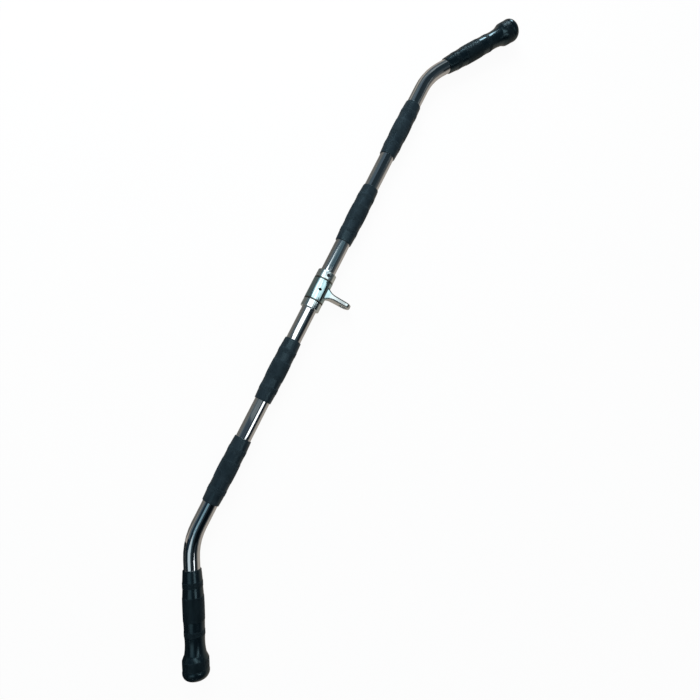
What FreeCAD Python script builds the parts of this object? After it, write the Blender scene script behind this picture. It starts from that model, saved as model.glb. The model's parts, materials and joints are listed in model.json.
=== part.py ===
import FreeCAD, Part
import math
import os

import Sketcher

# Lat pulldown bar, lying on the floor as it is put down after use.
# Lengths are millimetres, +Z is up and +X runs along the straight middle of the tube.
# The origin is the centre of the hanger's eye, where the cable's hook goes through.
# Each row below is one size that can be set by itself: its name, its value and what it is.

TUBE_SIZES = (
    ("tube_diameter", 25.4, "outside of the bent chrome tube"),
    ("tube_wall", 3.0, "wall of the tube"),
    ("bend_gap", 37.3, "straight tube between an outer grip and its bend"),
    ("bend_angle", 30.0, "degrees that each end turns out of the straight"),
    ("bend_radius", 100.0, "centreline radius of a bend"),
    ("arm_gap", 15.7, "straight tube between a bend and its end grip"),
)

HANGER_SIZES = (
    ("barrel_wall", 1.98, "wall of the hanger's barrel round its bushes"),
    ("barrel_length", 37.6, "length of the cast barrel between the bush flanges"),
    ("barrel_chamfer", 0.8, "chamfer on the rims of the barrel"),
    ("lug_width", 24.0, "width of the lug, seen along the bar"),
    ("lug_root_thickness", 9.4, "thickness of the lug where its flare ends"),
    ("lug_tip_thickness", 8.0, "thickness of the lug at its tip"),
    ("lug_reach", 61.5, "from the bar's axis to the tip of the lug"),
    ("lug_tip_flat", 0.5, "flat left in the middle of the lug's round tip"),
    ("lug_flare_width", 8.8, "how far the lug widens to each side at the barrel"),
    ("lug_flare_length", 16.6, "length of that flare along the lug"),
    ("lug_flare_hollow", 2.2, "how far the flare draws in below a straight line"),
    ("lug_flare_depth", 0.45, "how deep the flare starts inside the barrel at the lug's flat faces"),
    ("lug_root_fillet", 5.0, "fillet where the flare meets the barrel"),
    ("lug_edge_fillet", 2.4, "rounding along the borders of the lug"),
    ("eye_to_tip", 12.0, "from the centre of the eye to the tip of the lug"),
    ("eye_diameter", 14.0, "hole for the cable's hook"),
    ("eye_rim_fillet", 1.4, "rounding of the eye's rims"),
    ("oil_hole_diameter", 3.6, "hole that lets oil in between the bushes"),
)

BUSH_SIZES = (
    ("bush_wall", 2.0, "wall of a bush sleeve"),
    ("bush_sleeve_length", 15.0, "length of a bush inside the barrel"),
    ("bush_flange_thickness", 1.2, "thickness of the flange between barrel and collar"),
    ("bush_running_clearance", 0.05, "radial gap between the tube and a bush"),
    ("bush_seat_clearance", 0.02, "radial gap between a bush and the barrel"),
)

COLLAR_SIZES = (
    ("collar_wall", 3.75, "wall of a stop collar"),
    ("collar_length", 14.5, "length of a stop collar"),
    ("collar_gap", 0.3, "end play between a collar and its bush flange"),
    ("collar_bore_clearance", 0.05, "radial gap between the tube and a collar"),
    ("collar_chamfer", 0.9, "chamfer on the rims of a collar"),
    ("screw_diameter", 6.0, "thread of the socket set screws"),
    ("screw_clearance", 0.05, "radial gap between a set screw and its hole"),
    ("screw_tip_gap", 0.03, "gap between a set screw and the tube"),
    ("screw_recess", 0.5, "how deep a set screw sits below the collar's surface"),
    ("screw_socket_width", 3.0, "across the flats of the hexagon socket"),
    ("screw_floor", 1.5, "metal left below the hexagon socket"),
    ("screw_spread", 90.0, "degrees between the two set screws of a collar"),
    ("left_screw_turn", 9.0, "degrees from the top to the left collar's first screw"),
    ("right_screw_turn", 130.0, "degrees from the top to the right collar's first screw"),
)

HAND_GRIP_SIZES = (
    ("grip_bore_clearance", 0.03, "radial gap between the tube and the rubber"),
    ("grip_mouth_chamfer", 0.8, "bevel at the mouth of every grip"),
    ("hand_grip_length", 111.0, "length of a hand grip"),
    ("inner_grip_gap", 59.7, "bare tube between a collar and an inner grip"),
    ("outer_grip_gap", 67.0, "bare tube between an inner and an outer grip"),
    ("hand_end_wall", 1.47, "rubber at the ends of a hand grip"),
    ("hand_band_wall", 2.37, "rubber where the bands of a hand grip meet"),
    ("hand_end_band", 17.5, "smooth band at each end of a hand grip"),
    ("hand_ring_width", 8.5, "narrow grained ring beside it"),
    ("hand_smooth_band", 13.0, "smooth band between the ring and the broad grained band"),
    ("hand_ring_crown", 0.3, "how far a narrow ring bulges"),
    ("hand_palm_crown", 0.75, "how far the broad band bulges"),
)

END_GRIP_SIZES = (
    ("end_grip_length", 165.0, "length of an end grip"),
    ("end_tip_solid", 19.0, "rubber and plug between the tube's end and the tip"),
    ("mouth_wall", 1.67, "rubber at the mouth of an end grip"),
    ("first_ring_start", 17.6, "from the mouth to the first grained ring"),
    ("first_ring_width", 9.0, "width of that ring"),
    ("first_ring_wall", 2.77, "rubber at both sides of that ring"),
    ("palm_start", 40.0, "from the mouth to the broad grained band"),
    ("palm_start_wall", 3.57, "rubber where the broad band starts"),
    ("palm_end_to_tip", 88.7, "from the far side of the broad band to the tip"),
    ("palm_end_wall", 3.47, "rubber where the broad band ends"),
    ("second_ring_to_tip", 75.0, "from the second grained ring to the tip"),
    ("second_ring_width", 8.0, "width of that ring"),
    ("second_ring_wall", 3.07, "rubber at both sides of that ring"),
    ("flare_to_tip", 39.5, "from the middle of the flare to the tip"),
    ("flare_wall", 4.22, "rubber at the middle of the flare"),
    ("bulb_ring_to_tip", 33.0, "from the grained ring round the bulb to the tip"),
    ("bulb_ring_width", 14.5, "width of that ring"),
    ("bulb_wall", 7.17, "rubber at both sides of that ring"),
    ("dome_height", 2.8, "height of the flat dome at the tip"),
    ("dome_diameter", 21.0, "dome where it meets the shoulder"),
    ("end_ring_crown", 0.35, "how far a narrow ring bulges"),
    ("end_palm_crown", 0.55, "how far the broad band bulges"),
    ("waist_sag", 1.1, "how far the waist draws in below a straight line"),
    ("flare_crown", 0.2, "how far the outer half of the flare bulges"),
    ("bulb_crown", 0.5, "how far the bulb's grained ring bulges"),
    ("shoulder_crown", 4.5, "how far the shoulder of the dome bulges"),
    ("dome_crown", 0.75, "how far the dome bulges"),
)

PLUG_SIZES = (
    ("plug_head_thickness", 2.5, "head of a tube plug, outside the tube"),
    ("plug_head_inset", 0.4, "how far the head stays inside the tube's outline"),
    ("plug_fit", 0.05, "radial gap between the stem and the tube"),
    ("plug_stem_length", 18.0, "stem of a tube plug, inside the tube"),
    ("plug_nose_taper", 1.5, "how far the nose of the stem narrows"),
    ("plug_nose_length", 6.0, "length of that nose"),
    ("end_bore_gap", 0.3, "gap between the plug and the blind end of the grip's bore"),
)

# What follows from the sizes above, as formulas of the sheet.
DERIVED_SIZES = (
    ("tube_radius", "tube_diameter / 2"),
    ("barrel_bore_radius", "tube_radius + bush_running_clearance + bush_wall + bush_seat_clearance"),
    ("barrel_radius", "barrel_bore_radius + barrel_wall"),
    ("lug_tip_radius", "(lug_width - lug_tip_flat) / 2"),
    ("lug_foot", "lug_root_thickness / 2 + lug_flare_width"),
    ("lug_flare_start", "sqrt(barrel_radius^2 - (lug_width / 2)^2) - lug_flare_depth"),
    ("lug_flare_end", "lug_flare_start + lug_flare_length"),
    ("eye_reach", "lug_reach - eye_to_tip"),
    ("collar_bore_radius", "tube_radius + collar_bore_clearance"),
    ("collar_radius", "collar_bore_radius + collar_wall"),
    ("collar_start", "barrel_length / 2 + bush_flange_thickness + collar_gap"),
    ("collar_middle", "collar_start + collar_length / 2"),
    ("screw_foot", "tube_radius + screw_tip_gap"),
    ("screw_length", "collar_radius - screw_recess - screw_foot"),
    ("grip_bore_radius", "tube_radius + grip_bore_clearance"),
    ("inner_grip_middle", "collar_start + collar_length + inner_grip_gap + hand_grip_length / 2"),
    ("outer_grip_middle", "inner_grip_middle + hand_grip_length + outer_grip_gap"),
    ("bend_tangent", "bend_radius * tan(bend_angle / 2)"),
    ("bend_corner", "outer_grip_middle + hand_grip_length / 2 + bend_gap + bend_tangent"),
    ("end_grip_start", "bend_tangent + arm_gap"),
    ("tube_end_depth", "end_grip_length - end_tip_solid"),
    ("bulb_ring_start", "end_grip_length - bulb_ring_to_tip"),
)

SIZE_GROUPS = (
    TUBE_SIZES, HANGER_SIZES, BUSH_SIZES, COLLAR_SIZES, HAND_GRIP_SIZES, END_GRIP_SIZES, PLUG_SIZES,
)
HEXAGON_SIDES = 6
NEAR = 1e-6
LEFT, RIGHT = -1, 1
SIDE_NAMES = {LEFT: "left", RIGHT: "right"}
ALONG = FreeCAD.Vector(1, 0, 0)
UPWARD = FreeCAD.Vector(0, 0, 1)

doc = FreeCAD.newDocument("LatPulldownBar")
sheet = doc.addObject("Spreadsheet::Sheet", "Sizes")


# Sizes

def fill_sheet():
    """Writes every size into its own row of the sheet, with its name as alias."""
    row = 1
    for group in SIZE_GROUPS:
        for name, number, meaning in group:
            sheet.set("A%d" % row, meaning)
            sheet.set("B%d" % row, str(number))
            sheet.setAlias("B%d" % row, name)
            row += 1
    doc.recompute()
    for name, formula in DERIVED_SIZES:
        sheet.set("A%d" % row, formula)
        sheet.set("B%d" % row, "=" + formula)
        sheet.setAlias("B%d" % row, name)
        doc.recompute()
        row += 1


def value(expression):
    """The number that an expression of sizes gives now."""
    return float(sheet.evalExpression(expression))


# Sketch helpers

def origin_feature(body, role):
    """One of the body's own origin planes or axes."""
    return next(feature for feature in body.Origin.OriginFeatures if feature.Role == role)


def new_body(label):
    """An empty body whose label is the name of the piece."""
    body = doc.addObject("PartDesign::Body", label)
    body.Label = label
    return body


def new_sketch(body, name, plane):
    """A sketch on one of the body's origin planes."""
    sketch = body.newObject("Sketcher::SketchObject", name)
    sketch.AttachmentSupport = (origin_feature(body, plane), [""])
    sketch.MapMode = "FlatFace"
    return sketch


def constrain(sketch, kind, expression, *where):
    """Adds a dimension to a sketch and binds it to the sheet."""
    index = sketch.addConstraint(Sketcher.Constraint(kind, *where, value(expression)))
    sketch.setExpression("Constraints[%d]" % index, expression)


def hold_point(sketch, geometry, end, across, up):
    """Ties one end of a line or an arc to its place; None puts it on that axis."""
    if across is None:
        sketch.addConstraint(Sketcher.Constraint("PointOnObject", geometry, end, -2))
    else:
        constrain(sketch, "DistanceX", across, -1, 1, geometry, end)
    if up is None:
        sketch.addConstraint(Sketcher.Constraint("PointOnObject", geometry, end, -1))
    else:
        constrain(sketch, "DistanceY", up, -1, 1, geometry, end)


def place_of(across, up):
    """The point in a sketch that two expressions give; None stands for zero."""
    return FreeCAD.Vector(value(across) if across else 0, value(up) if up else 0, 0)


def bulged_arc(start, end, crown):
    """An arc from start to end whose middle stands off the chord by the crown, to the left if positive."""
    chord = end - start
    left = FreeCAD.Vector(-chord.y, chord.x, 0).normalize()
    height = abs(crown)
    radius = chord.Length ** 2 / (8 * height) + height / 2
    inward = (height - radius) * math.copysign(1, crown)
    centre = (start + end) * 0.5 + left * inward
    first, last = (end, start) if crown > 0 else (start, end)
    turn_first = math.atan2(first.y - centre.y, first.x - centre.x)
    turn_last = math.atan2(last.y - centre.y, last.x - centre.x)
    return Part.ArcOfCircle(Part.Circle(centre, UPWARD, radius), turn_first, turn_last)


def chord_radius(a, b, crown):
    """The radius of an arc between two corners with a given crown, as an expression."""
    across = "((%s) - (%s))" % (b[0] or "0", a[0] or "0")
    up = "((%s) - (%s))" % (b[1] or "0", a[1] or "0")
    return "(%s^2 + %s^2) / (8 * (%s)) + (%s) / 2" % (across, up, crown, crown)


def draw_outline(sketch, corners, closed=True):
    """Draws lines and arcs from corner to corner.

    Each corner is (across, up) or (across, up, side, crown): side "left" or "right" of the way on,
    where the arc to the next corner bulges by the crown.
    """
    count = len(corners)
    pieces = count if closed else count - 1
    starts, ends = [], []
    for index in range(pieces):
        here, there = corners[index], corners[(index + 1) % count]
        start, end = place_of(*here[:2]), place_of(*there[:2])
        if len(here) == 2:
            geometry = sketch.addGeometry(Part.LineSegment(start, end))
            starts.append((geometry, 1))
            ends.append((geometry, 2))
        else:
            side, crown = here[2], here[3]
            signed = value(crown) if side == "left" else -value(crown)
            geometry = sketch.addGeometry(bulged_arc(start, end, signed))
            starts.append((geometry, 2 if side == "left" else 1))
            ends.append((geometry, 1 if side == "left" else 2))
    for index in range(pieces):
        hold_point(sketch, *starts[index], *corners[index][:2])
        if closed or index > 0:
            previous = ends[index - 1]
            sketch.addConstraint(Sketcher.Constraint("Coincident", *previous, *starts[index]))
    if not closed:
        hold_point(sketch, *ends[-1], *corners[-1][:2])
    for index in range(pieces):
        if len(corners[index]) > 2:
            here, there = corners[index], corners[(index + 1) % count]
            constrain(sketch, "Radius", chord_radius(here, there, here[3]), starts[index][0])


def draw_circle(sketch, diameter, across=None, up=None):
    """Draws a circle of a bound diameter with its centre held in place."""
    circle = Part.Circle(place_of(across, up), UPWARD, value(diameter) / 2)
    geometry = sketch.addGeometry(circle)
    hold_point(sketch, geometry, 3, across, up)
    constrain(sketch, "Diameter", diameter, geometry)


# Feature helpers

def turn_profile(body, name, sketch):
    """Revolves a sketch fully about the body's X axis."""
    feature = body.newObject("PartDesign::Revolution", name)
    feature.Profile = sketch
    feature.ReferenceAxis = (sketch, ["H_Axis"])
    feature.Angle = 360
    return feature


def pad(body, name, sketch, length, both_ways=False):
    """Pads a sketch by a bound length, about its plane if both_ways."""
    feature = body.newObject("PartDesign::Pad", name)
    feature.Profile = sketch
    if both_ways:
        feature.SideType = "Symmetric"
    feature.setExpression("Length", length)
    return feature


def pocket(body, name, sketch, length, both_ways=False, backwards=False):
    """Cuts a sketch out by a bound length and makes sure that it took material away."""
    doc.recompute()
    before = body.Shape.Volume
    feature = body.newObject("PartDesign::Pocket", name)
    feature.Profile = sketch
    if both_ways:
        feature.SideType = "Symmetric"
    feature.Reversed = backwards
    feature.setExpression("Length", length)
    doc.recompute()
    if body.Shape.Volume >= before:
        raise RuntimeError("%s cut nothing" % name)
    return feature


def soften(body, kind, name, base, edges, dimension, length):
    """Adds a fillet or a chamfer of a bound size to some edges of the last feature."""
    feature = body.newObject("PartDesign::" + kind, name)
    feature.Base = (base, edges)
    feature.setExpression(dimension, length)
    doc.recompute()
    return feature


def edges_where(shape, test):
    """The names of the edges that pass a test."""
    return ["Edge%d" % (index + 1) for index, edge in enumerate(shape.Edges) if test(edge)]


# Where things are

def lug_droop():
    """Degrees that the loose lug hangs down until its round tip meets the floor."""
    drop = value("Sizes.barrel_radius - Sizes.lug_width / 2")
    return math.degrees(math.asin(drop / value("Sizes.lug_reach - Sizes.lug_tip_radius")))


def arm_rise():
    """Degrees that the bar turns about its straight until both bulbs lie on the floor."""
    lift = value("Sizes.grip_bore_radius + Sizes.bulb_wall + Sizes.bulb_crown - Sizes.barrel_radius")
    station = "(Sizes.end_grip_start + Sizes.bulb_ring_start + Sizes.bulb_ring_width / 2)"
    return math.degrees(math.asin(lift / value(station + " * sin(Sizes.bend_angle)")))


def bar_axis():
    """The middle of the bar's straight axis, seen from the eye at the origin."""
    droop = math.radians(lug_droop())
    reach = value("Sizes.eye_reach")
    return FreeCAD.Vector(0, -reach * math.cos(droop), reach * math.sin(droop))


def on_bar(along, turn=0.0):
    """A placement on the straight axis, turned about it by some degrees."""
    return FreeCAD.Placement(bar_axis() + ALONG * along, FreeCAD.Rotation(ALONG, turn))


def on_arm(side, station):
    """A placement on a bent end, with +X running outwards from a distance past the bend's corner."""
    angle = value("Sizes.bend_angle")
    direction = FreeCAD.Rotation(UPWARD, angle if side == RIGHT else 180 - angle)
    corner = ALONG * side * value("Sizes.bend_corner")
    tilt = FreeCAD.Rotation(ALONG, arm_rise())
    place = bar_axis() + tilt.multVec(corner + direction.multVec(ALONG * station))
    return FreeCAD.Placement(place, tilt.multiply(direction))


# The chrome tube

def build_tube():
    """The bent tube: one half swept along its centreline and mirrored about the middle."""
    body = new_body("bar_tube")
    section = new_sketch(body, "tube_section", "YZ_Plane")
    draw_circle(section, "Sizes.tube_diameter")
    draw_circle(section, "Sizes.tube_diameter - 2 * Sizes.tube_wall")
    path = new_sketch(body, "tube_path", "XY_Plane")
    crown = "Sizes.bend_radius * (1 - cos(Sizes.bend_angle / 2))"
    draw_outline(path, (
        (None, None),
        ("Sizes.bend_corner - Sizes.bend_tangent", None, "right", crown),
        past_corner("Sizes.bend_tangent"),
        past_corner("(Sizes.end_grip_start + Sizes.tube_end_depth)"),
    ), closed=False)
    half = body.newObject("PartDesign::AdditivePipe", "tube_half")
    half.Profile = section
    half.Spine = (path, [])
    doc.recompute()
    whole = body.newObject("PartDesign::Mirrored", "tube_whole")
    whole.Originals = [half]
    whole.MirrorPlane = (origin_feature(body, "YZ_Plane"), [""])
    body.Tip = whole
    body.Placement = on_bar(0, arm_rise())
    return body


def past_corner(station):
    """The point on the bent end's centreline a distance past the bend's corner, as expressions."""
    across = "Sizes.bend_corner + %s * cos(Sizes.bend_angle)" % station
    return across, "%s * sin(Sizes.bend_angle)" % station


# The swivelling hanger

def build_hanger():
    """The cast hanger: a barrel round the bar and a tapered lug with the eye."""
    body = new_body("hanger_body")
    lug_outline = new_sketch(body, "lug_outline", "XY_Plane")
    root, tip = "Sizes.lug_root_thickness / 2", "Sizes.lug_tip_thickness / 2"
    draw_outline(lug_outline, (
        ("-Sizes.lug_foot", None),
        ("Sizes.lug_foot", None),
        ("Sizes.lug_foot", "Sizes.lug_flare_start", "left", "Sizes.lug_flare_hollow"),
        (root, "Sizes.lug_flare_end"),
        (tip, "Sizes.lug_reach"),
        ("-(%s)" % tip, "Sizes.lug_reach"),
        ("-(%s)" % root, "Sizes.lug_flare_end", "left", "Sizes.lug_flare_hollow"),
        ("-Sizes.lug_foot", "Sizes.lug_flare_start"),
    ))
    lug = pad(body, "lug", lug_outline, "Sizes.lug_width", both_ways=True)
    doc.recompute()
    corners = edges_where(lug.Shape, is_tip_corner)
    round_tip = soften(body, "Fillet", "lug_tip", lug, corners, "Radius", "Sizes.lug_tip_radius")
    borders = edges_where(round_tip.Shape, is_lug_border)
    soften(body, "Fillet", "lug_borders", round_tip, borders, "Radius", "Sizes.lug_edge_fillet")

    barrel_section = new_sketch(body, "barrel_section", "XY_Plane")
    half, radius = "Sizes.barrel_length / 2", "Sizes.barrel_radius"
    draw_outline(barrel_section, (
        ("-(%s)" % half, None),
        ("-(%s)" % half, "Sizes.barrel_chamfer - %s" % radius),
        ("Sizes.barrel_chamfer - %s" % half, "-(%s)" % radius),
        ("%s - Sizes.barrel_chamfer" % half, "-(%s)" % radius),
        (half, "Sizes.barrel_chamfer - %s" % radius),
        (half, None),
    ))
    barrel = turn_profile(body, "barrel", barrel_section)
    doc.recompute()
    roots = edges_where(barrel.Shape, is_root_curve)
    soften(body, "Fillet", "lug_flare", barrel, roots, "Radius", "Sizes.lug_root_fillet")

    bore = new_sketch(body, "barrel_bore", "YZ_Plane")
    draw_circle(bore, "2 * Sizes.barrel_bore_radius")
    pocket(body, "bore", bore, "Sizes.barrel_length", both_ways=True)
    eye = new_sketch(body, "eye_outline", "YZ_Plane")
    draw_circle(eye, "Sizes.eye_diameter", "Sizes.eye_reach", None)
    pocket(body, "eye", eye, "Sizes.lug_root_thickness", both_ways=True)
    oil = new_sketch(body, "oil_hole_outline", "XY_Plane")
    draw_circle(oil, "Sizes.oil_hole_diameter")
    drilled = pocket(body, "oil_hole", oil, radius, backwards=True)
    rims = edges_where(drilled.Shape, is_eye_rim)
    soften(body, "Fillet", "eye_rims", drilled, rims, "Radius", "Sizes.eye_rim_fillet")
    body.Placement = on_bar(0, -lug_droop())
    return body


def is_tip_corner(edge):
    """True for the two edges across the thickness at the tip of the lug."""
    box = edge.BoundBox
    return box.XLength > NEAR and box.YLength < NEAR and abs(box.YMin - value("Sizes.lug_reach")) < NEAR


def is_lug_border(edge):
    """True for the long borders of both flat faces of the lug and for those round its tip."""
    box = edge.BoundBox
    along_side = box.YLength > NEAR and box.XMin * box.XMax > 0
    at_tip = box.XLength < NEAR and box.YLength < NEAR and abs(box.YMin - value("Sizes.lug_reach")) < NEAR
    return along_side or at_tip


def is_root_curve(edge):
    """True for the curves round the foot of the lug, where it leaves the barrel."""
    span = edge.LastParameter - edge.FirstParameter
    points = [edge.valueAt(edge.FirstParameter + span * part / 4) for part in range(5)]
    radius, foot = value("Sizes.barrel_radius"), value("Sizes.lug_foot")
    on_barrel = all(abs(math.hypot(point.y, point.z) - radius) < NEAR ** 0.5 for point in points)
    return on_barrel and all(abs(point.x) < foot + NEAR and point.y > 0 for point in points)


def is_eye_rim(edge):
    """True for the two rims of the eye."""
    box = edge.BoundBox
    centred = abs((box.YMin + box.YMax) / 2 - value("Sizes.eye_reach")) < NEAR ** 0.5
    return centred and abs(box.ZLength - value("Sizes.eye_diameter")) < NEAR ** 0.5


def build_bush(side):
    """A flanged bush: its sleeve sits in the barrel and its flange takes the end thrust."""
    body = new_body("hanger_bush_%s" % SIDE_NAMES[side])
    section = new_sketch(body, "bush_section", "XY_Plane")
    inside = "Sizes.tube_radius + Sizes.bush_running_clearance"
    sleeve = inside + " + Sizes.bush_wall"
    flange = "Sizes.barrel_radius"
    draw_outline(section, (
        ("-Sizes.bush_sleeve_length", inside),
        ("Sizes.bush_flange_thickness", inside),
        ("Sizes.bush_flange_thickness", flange),
        (None, flange),
        (None, sleeve),
        ("-Sizes.bush_sleeve_length", sleeve),
    ))
    turn_profile(body, "bush", section)
    place = on_bar(side * value("Sizes.barrel_length / 2"))
    if side == LEFT:
        place.Rotation = FreeCAD.Rotation(UPWARD, 180)
    body.Placement = place
    return body


# The stop collars

def screw_turn(side, number):
    """Degrees about the bar from the top to one of a collar's two screws."""
    first = value("Sizes.%s_screw_turn" % SIDE_NAMES[side])
    return first + number * value("Sizes.screw_spread")


def build_collar(side):
    """A turned ring with chamfered rims and two radial screw holes."""
    body = new_body("stop_collar_%s" % SIDE_NAMES[side])
    section = new_sketch(body, "collar_section", "XY_Plane")
    inside, outside, half = "Sizes.collar_bore_radius", "Sizes.collar_radius", "Sizes.collar_length / 2"
    draw_outline(section, (
        ("-(%s)" % half, inside),
        (half, inside),
        (half, "%s - Sizes.collar_chamfer" % outside),
        ("%s - Sizes.collar_chamfer" % half, outside),
        ("Sizes.collar_chamfer - %s" % half, outside),
        ("-(%s)" % half, "%s - Sizes.collar_chamfer" % outside),
    ))
    turn_profile(body, "ring", section)
    hole = new_sketch(body, "screw_hole_outline", "XY_Plane")
    draw_circle(hole, "Sizes.screw_diameter + 2 * Sizes.screw_clearance")
    drilled = pocket(body, "screw_hole", hole, outside, backwards=True)
    holes = body.newObject("PartDesign::PolarPattern", "screw_holes")
    holes.Originals = [drilled]
    holes.Axis = (origin_feature(body, "X_Axis"), [""])
    holes.Reversed = True
    holes.Occurrences = 2
    holes.setExpression("Angle", "Sizes.screw_spread")
    body.Tip = holes
    body.Placement = on_bar(side * value("Sizes.collar_middle"), -screw_turn(side, 0))
    return body


def build_set_screw(side, number):
    """A socket set screw standing on its foot along +Z, turned down to the tube."""
    body = new_body("set_screw_%s_%d" % (SIDE_NAMES[side], number + 1))
    shank = new_sketch(body, "screw_outline", "XY_Plane")
    draw_circle(shank, "Sizes.screw_diameter")
    pad(body, "shank", shank, "Sizes.screw_length")
    socket = new_sketch(body, "socket_outline", "XY_Plane")
    socket.setExpression("AttachmentOffset.Base.z", "Sizes.screw_length")
    corner = "Sizes.screw_socket_width / (2 * cos(180 / %d))" % HEXAGON_SIDES
    draw_outline(socket, [hexagon_corner(corner, index) for index in range(HEXAGON_SIDES)])
    pocket(body, "socket", socket, "Sizes.screw_length - Sizes.screw_floor")
    turn = FreeCAD.Rotation(ALONG, -screw_turn(side, number))
    middle = on_bar(side * value("Sizes.collar_middle")).Base
    body.Placement = FreeCAD.Placement(middle + turn.multVec(UPWARD * value("Sizes.screw_foot")), turn)
    return body


def hexagon_corner(radius, index):
    """One corner of a hexagon with a corner on each side of the vertical axis."""
    turn = "(%d * 360 / %d + 30)" % (index, HEXAGON_SIDES)
    across = "(%s) * cos%s" % (radius, turn)
    up = "(%s) * sin%s" % (radius, turn)
    if index in (1, 4):
        across = None
    return across, up


# The rubber grips

def mouth_corners(outside, start, inwards):
    """The bevelled mouth of a grip's section, from its bore outwards; inwards is the sign of the way in."""
    return [
        (start, "Sizes.grip_bore_radius"),
        (start, "%s - Sizes.grip_mouth_chamfer" % outside),
        ("%s %s Sizes.grip_mouth_chamfer" % (start or "", inwards), outside),
    ]


def build_hand_grip(name, side):
    """A sleeve with a grained ring near each end and a broad grained band in the middle."""
    body = new_body("%s_grip_%s" % (name, SIDE_NAMES[side]))
    section = new_sketch(body, "grip_section", "XY_Plane")
    half = "Sizes.hand_grip_length / 2"
    outside = "(Sizes.grip_bore_radius + Sizes.hand_end_wall)"
    band = "Sizes.grip_bore_radius + Sizes.hand_band_wall"
    ring = "(%s - Sizes.hand_end_band)" % half
    smooth = "(%s - Sizes.hand_ring_width)" % ring
    palm = "(%s - Sizes.hand_smooth_band)" % smooth
    bands = [
        ("-" + ring, band, "left", "Sizes.hand_ring_crown"),
        ("-" + smooth, band),
        ("-" + palm, band, "left", "Sizes.hand_palm_crown"),
        (palm, band),
        (smooth, band, "left", "Sizes.hand_ring_crown"),
        (ring, band),
    ]
    near_mouth = mouth_corners(outside, "-(%s)" % half, "+")
    far_mouth = mouth_corners(outside, half, "-")
    draw_outline(section, near_mouth + bands + far_mouth[::-1])
    turn_profile(body, "sleeve", section)
    body.Placement = on_bar(side * value("Sizes.%s_grip_middle" % name))
    return body


def build_end_grip(side):
    """The end grip: ringed like the hand grips, drawn in to a waist and flared into a bulb."""
    body = new_body("end_grip_%s" % SIDE_NAMES[side])
    section = new_sketch(body, "grip_section", "XY_Plane")
    outside = "(Sizes.grip_bore_radius + Sizes.mouth_wall)"
    depth = "Sizes.tube_end_depth + Sizes.plug_head_thickness + Sizes.end_bore_gap"
    second_ring = from_tip("second_ring")
    draw_outline(section, mouth_corners(outside, None, "") + [
        ("Sizes.first_ring_start", wall("first_ring"), "left", "Sizes.end_ring_crown"),
        ("Sizes.first_ring_start + Sizes.first_ring_width", wall("first_ring")),
        ("Sizes.palm_start", wall("palm_start"), "left", "Sizes.end_palm_crown"),
        (from_tip("palm_end"), wall("palm_end")),
        (second_ring, wall("second_ring"), "left", "Sizes.end_ring_crown"),
        (second_ring + " + Sizes.second_ring_width", wall("second_ring"), "right", "Sizes.waist_sag"),
        (from_tip("flare"), wall("flare"), "left", "Sizes.flare_crown"),
        ("Sizes.bulb_ring_start", wall("bulb"), "left", "Sizes.bulb_crown"),
        ("Sizes.bulb_ring_start + Sizes.bulb_ring_width", wall("bulb"), "left", "Sizes.shoulder_crown"),
        ("Sizes.end_grip_length - Sizes.dome_height", "Sizes.dome_diameter / 2", "left", "Sizes.dome_crown"),
        ("Sizes.end_grip_length", None),
        (depth, None),
        (depth, "Sizes.grip_bore_radius"),
    ])
    turn_profile(body, "grip", section)
    body.Placement = on_arm(side, value("Sizes.end_grip_start"))
    return body


def from_tip(name):
    """A station of the end grip that keeps its distance from the tip."""
    return "Sizes.end_grip_length - Sizes.%s_to_tip" % name


def wall(name):
    """The radius of the end grip where it has a named thickness of rubber."""
    return "Sizes.grip_bore_radius + Sizes.%s_wall" % name


def build_tube_plug(side):
    """A headed plug with a tapered nose that closes the end of the tube inside the end grip."""
    body = new_body("tube_plug_%s" % SIDE_NAMES[side])
    section = new_sketch(body, "plug_section", "XY_Plane")
    stem = "Sizes.tube_radius - Sizes.tube_wall - Sizes.plug_fit"
    head = "Sizes.tube_radius - Sizes.plug_head_inset"
    draw_outline(section, (
        ("-Sizes.plug_stem_length", None),
        ("-Sizes.plug_stem_length", stem + " - Sizes.plug_nose_taper"),
        ("Sizes.plug_nose_length - Sizes.plug_stem_length", stem),
        (None, stem),
        (None, head),
        ("Sizes.plug_head_thickness", head),
        ("Sizes.plug_head_thickness", None),
    ))
    turn_profile(body, "plug", section)
    body.Placement = on_arm(side, value("Sizes.end_grip_start + Sizes.tube_end_depth"))
    return body


# The whole bar

def build_all():
    """Every piece of the bar, each in its own body."""
    pieces = [build_tube(), build_hanger()]
    for side in (LEFT, RIGHT):
        pieces.append(build_bush(side))
        pieces.append(build_collar(side))
        pieces.append(build_set_screw(side, 0))
        pieces.append(build_set_screw(side, 1))
        pieces.append(build_hand_grip("inner", side))
        pieces.append(build_hand_grip("outer", side))
        pieces.append(build_end_grip(side))
        pieces.append(build_tube_plug(side))
    doc.recompute()
    return pieces


def check_and_write(pieces):
    """Stops on any failed object or shape, then writes one file per piece."""
    for item in doc.Objects:
        if "Invalid" in item.State or "Error" in item.State:
            raise RuntimeError("%s failed: %s" % (item.Label, item.State))
    for piece in pieces:
        shape = piece.Shape
        if shape.isNull() or not shape.isValid() or len(shape.Solids) != 1:
            raise RuntimeError("%s has no sound solid" % piece.Label)
    os.makedirs("parts", exist_ok=True)
    for piece in pieces:
        piece.Shape.exportStep("parts/%s.step" % piece.Label)
        box = piece.Shape.BoundBox
        print("%-20s volume %9.1f  x %7.1f %7.1f  y %6.1f %6.1f  z %6.2f %6.2f" % (
            piece.Label, piece.Shape.Volume, box.XMin, box.XMax, box.YMin, box.YMax, box.ZMin, box.ZMax))


fill_sheet()
check_and_write(build_all())
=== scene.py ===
import json
import logging
import math
from dataclasses import dataclass
from enum import Enum
from typing import Iterable, List, Sequence, Tuple, Union

import bmesh
import bpy
from mathutils import Matrix, Vector

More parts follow.
